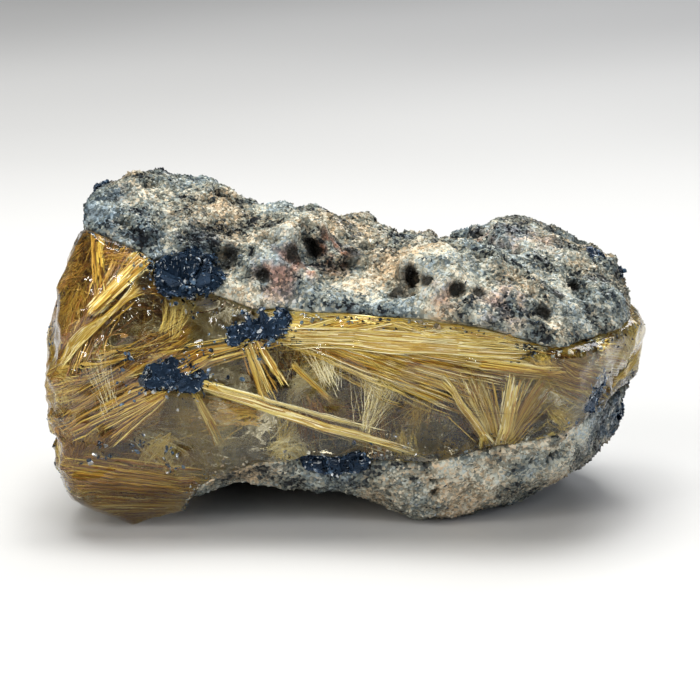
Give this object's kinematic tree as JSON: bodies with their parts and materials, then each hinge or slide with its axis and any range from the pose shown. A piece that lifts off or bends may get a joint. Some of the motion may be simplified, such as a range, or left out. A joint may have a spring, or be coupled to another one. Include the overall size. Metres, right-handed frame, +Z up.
{
  "type": "rutilated quartz specimen",
  "caption": "Broken lump of clear quartz full of golden rutile needles, with knots of hematite plates and a vuggy grey crust over its top and under its right half.",
  "frame": {"origin": "under the middle of the specimen's box, on the surface that it stands on", "axes": "+X runs along the specimen from its tall left end to its rounded right end, +Y from its front to its back, +Z up"},
  "size_m": [0.082, 0.0482, 0.0453],
  "materials": {
    "clear_quartz": "clear to smoky yellow-brown quartz, glossy shell-shaped breaks",
    "vuggy_crust": "sugary grey-brown crust with open vugs and small sparkling faces",
    "hematite": "steel-blue to black plates with a metallic lustre",
    "rutile": "golden needles with a bright, silky to metallic lustre"
  },
  "bodies": {
    "root": {"quartz": "clear_quartz", "top_crust": "vuggy_crust", "base_crust": "vuggy_crust", "hematite_front_rim": "hematite", "hematite_front_cleft": "hematite", "hematite_front_band": "hematite", "hematite_front_base": "hematite", "hematite_right_edge": "hematite", "hematite_right_face": "hematite", "hematite_right_top": "hematite", "hematite_back_mid": "hematite", "hematite_back_notch": "hematite", "hematite_back_corner": "hematite", "hematite_back_plate": "hematite", "hematite_end_peak": "hematite", "hematite_end_band": "hematite", "rutile_band_upper": "rutile", "rutile_long_ray": "rutile", "rutile_right_fan": "rutile", "rutile_left_streak": "rutile", "rutile_right_gold": "rutile", "rutile_back_long": "rutile", "rutile_back_cross": "rutile", "rutile_back_low": "rutile"}
  },
  "joints": []
}
